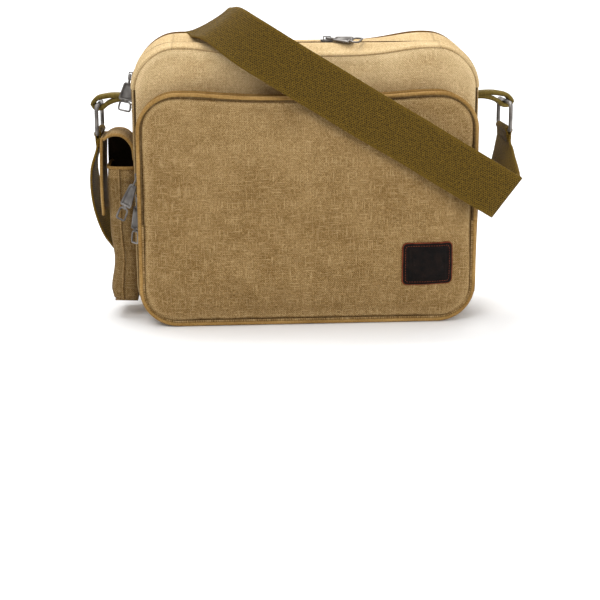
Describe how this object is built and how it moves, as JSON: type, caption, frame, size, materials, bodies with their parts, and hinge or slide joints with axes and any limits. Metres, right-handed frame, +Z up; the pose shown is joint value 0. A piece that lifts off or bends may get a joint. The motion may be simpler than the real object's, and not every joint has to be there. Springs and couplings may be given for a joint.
{
  "type": "messenger bag",
  "caption": "Canvas messenger bag with three zipped compartments, fold-down front and back panels, side pockets and a webbing shoulder strap.",
  "frame": {"origin": "on the ground under the middle of the main compartment's bottom face", "axes": "+Z up, front face towards -Y, +X along the bag's width"},
  "size_m": [0.4397, 0.1663, 0.3178],
  "materials": {
    "khaki_canvas": "washed canvas",
    "khaki_lining": "plain canvas",
    "olive_webbing": "heavy webbing",
    "brown_piping": "corded piping",
    "zip_teeth": "dark zip",
    "gunmetal": "polished dark metal",
    "nickel": "bright metal",
    "dark_leather": "tooled leather"
  },
  "bodies": {
    "bag": {"main_front_wall": "khaki_canvas", "main_back_wall": "khaki_canvas", "main_gusset": "khaki_canvas", "main_corner_strips": "khaki_canvas", "main_corner_zip_rows": "zip_teeth", "front_gusset": "khaki_canvas", "front_zip_fixed_row": "zip_teeth", "front_panel_lower": "khaki_canvas", "front_pipings": "brown_piping", "back_gusset": "khaki_canvas", "back_zip_fixed_row": "zip_teeth", "back_panel_lower": "khaki_canvas", "back_pipings": "brown_piping", "leather_patch": "dark_leather", "left_pocket": "khaki_canvas", "left_pocket_arch": "khaki_canvas", "right_pocket": "khaki_canvas", "left_loop": "olive_webbing", "right_loop": "olive_webbing", "left_ring": "gunmetal", "right_ring": "gunmetal", "front_organizer_panel": "khaki_lining", "front_organizer_binding": "olive_webbing", "front_card_rows": "khaki_lining", "front_zip_pocket": "khaki_lining", "key_tab": "olive_webbing", "back_organizer_rows": "khaki_lining", "back_organizer_binding": "olive_webbing", "back_zip_pocket": "khaki_lining"},
    "front_flap": {"front_flap_panel": "khaki_canvas", "front_flap_side": "khaki_canvas", "front_flap_zip_row": "zip_teeth", "front_flap_piping": "brown_piping", "flap_zip_pocket": "khaki_lining"},
    "back_flap": {"back_flap_panel": "khaki_canvas", "back_flap_side": "khaki_canvas", "back_flap_zip_row": "zip_teeth", "back_flap_piping": "brown_piping"},
    "mouth_front": {"mouth_front_leaf": "khaki_canvas"},
    "mouth_back": {"mouth_back_leaf": "khaki_canvas"},
    "pocket_flap": {"left_pocket_flap": "khaki_canvas"},
    "slider_main_left": {"main_left_slider": "gunmetal"},
    "pull_main_left": {"main_left_pull": "gunmetal"},
    "slider_main_top": {"main_top_slider": "gunmetal"},
    "pull_main_top": {"main_top_pull": "gunmetal"},
    "slider_front_upper": {"front_upper_slider": "gunmetal"},
    "pull_front_upper": {"front_upper_pull": "gunmetal"},
    "slider_front_lower": {"front_lower_slider": "gunmetal"},
    "pull_front_lower": {"front_lower_pull": "gunmetal"},
    "slider_back": {"back_slider": "gunmetal"},
    "pull_back": {"back_pull": "gunmetal"},
    "flap_slider": {"flap_pocket_slider": "nickel"},
    "front_pocket_slide_body": {"front_pocket_slider": "nickel"},
    "back_pocket_slide_body": {"back_pocket_slider": "nickel"},
    "key_clip": {"key_ring": "nickel", "key_hook": "nickel"},
    "key_gate": {"key_hook_gate": "nickel"},
    "strap_front": {"strap_front_run": "olive_webbing"},
    "strap_back": {"strap_back_run": "olive_webbing"}
  },
  "joints": [
    {"name": "front_flap_fold", "type": "hinge", "parent": "bag", "child": "front_flap", "pos_m": [0, -0.061, 0.105], "axis": [1, 0, 0], "range_deg": [0, 115]},
    {"name": "back_flap_fold", "type": "hinge", "parent": "bag", "child": "back_flap", "pos_m": [0, 0.057, 0.095], "axis": [-1, 0, 0], "range_deg": [0, 115]},
    {"name": "main_top_slide", "type": "slide", "parent": "bag", "child": "slider_main_top", "axis": [1, 0, 0], "range_m": [0, 0.1]},
    {"name": "mouth_front_part", "type": "slide", "parent": "bag", "child": "mouth_front", "axis": [0, -1, 0], "range_m": [0, 0.018]},
    {"name": "mouth_back_part", "type": "slide", "parent": "bag", "child": "mouth_back", "axis": [0, 1, 0], "range_m": [0, 0.018]},
    {"name": "main_left_travel", "type": "hinge", "parent": "bag", "child": "slider_main_left", "pos_m": [-0.133, -0.004, 0.2398], "axis": [0, 1, 0], "range_deg": [0, 70]},
    {"name": "front_upper_travel", "type": "slide", "parent": "bag", "child": "slider_front_upper", "axis": [0, 0, 1], "range_m": [0, 0.04]},
    {"name": "front_lower_travel", "type": "slide", "parent": "bag", "child": "slider_front_lower", "axis": [0, 0, -1], "range_m": [0, 0.018]},
    {"name": "back_slider_travel", "type": "slide", "parent": "bag", "child": "slider_back", "axis": [0, 0, 1], "range_m": [-0.03, 0.04]},
    {"name": "main_left_pull_swing", "type": "hinge", "parent": "slider_main_left", "child": "pull_main_left", "pos_m": [-0.17621, -0.004, 0.24664], "axis": [0, 1, 0], "range_deg": [0, 140]},
    {"name": "main_top_pull_swing", "type": "hinge", "parent": "slider_main_top", "child": "pull_main_top", "pos_m": [0.022, -0.004, 0.28355], "axis": [0, -1, 0], "range_deg": [0, 150]},
    {"name": "front_upper_pull_swing", "type": "hinge", "parent": "slider_front_upper", "child": "pull_front_upper", "pos_m": [-0.1694, -0.045, 0.15], "axis": [0, 1, 0], "range_deg": [0, 130]},
    {"name": "front_lower_pull_swing", "type": "hinge", "parent": "slider_front_lower", "child": "pull_front_lower", "pos_m": [-0.1694, -0.045, 0.129], "axis": [0, 1, 0], "range_deg": [0, 22]},
    {"name": "back_pull_swing", "type": "hinge", "parent": "slider_back", "child": "pull_back", "pos_m": [0.1694, 0.045, 0.15], "axis": [0, -1, 0], "range_deg": [0, 150]},
    {"name": "pocket_flap_lift", "type": "hinge", "parent": "bag", "child": "pocket_flap", "pos_m": [-0.2056, 0.002, 0.18615], "axis": [0, 1, 0], "range_deg": [0, 75]},
    {"name": "flap_pocket_slide", "type": "slide", "parent": "front_flap", "child": "flap_slider", "axis": [-1, 0, 0], "range_m": [0, 0.22]},
    {"name": "front_pocket_slide", "type": "slide", "parent": "bag", "child": "front_pocket_slide_body", "axis": [1, 0, 0], "range_m": [0, 0.105]},
    {"name": "back_pocket_slide", "type": "slide", "parent": "bag", "child": "back_pocket_slide_body", "axis": [-1, 0, 0], "range_m": [0, 0.22]},
    {"name": "key_clip_swing", "type": "hinge", "parent": "bag", "child": "key_clip", "pos_m": [-0.1, -0.041, 0.192], "axis": [0, 1, 0], "range_deg": [-30, 30]},
    {"name": "key_gate_press", "type": "hinge", "parent": "key_clip", "child": "key_gate", "pos_m": [-0.0913, -0.041, 0.1549], "axis": [0, -1, 0], "range_deg": [0, 25], "stiffness_Nm_per_rad": 0.001},
    {"name": "strap_front_lift", "type": "hinge", "parent": "bag", "child": "strap_front", "pos_m": [0.21, 0.012, 0.186], "axis": [-0.9352, -0.0337, 0.3526], "range_deg": [0, 150], "deforming": ["strap_front_run"]},
    {"name": "strap_back_lift", "type": "hinge", "parent": "bag", "child": "strap_back", "pos_m": [-0.21, 0.012, 0.185], "axis": [0.7007, -0.0246, 0.713], "range_deg": [0, 150], "deforming": ["strap_back_run"]}
  ],
  "couplings": [
    {"joint": "mouth_front_part", "follows": "main_top_slide", "ratio": 0.18},
    {"joint": "mouth_back_part", "follows": "main_top_slide", "ratio": 0.18},
    {"joint": "strap_front_lift", "follows": "front_flap_fold", "ratio": 1.3},
    {"joint": "strap_back_lift", "follows": "back_flap_fold", "ratio": 1.3}
  ]
}
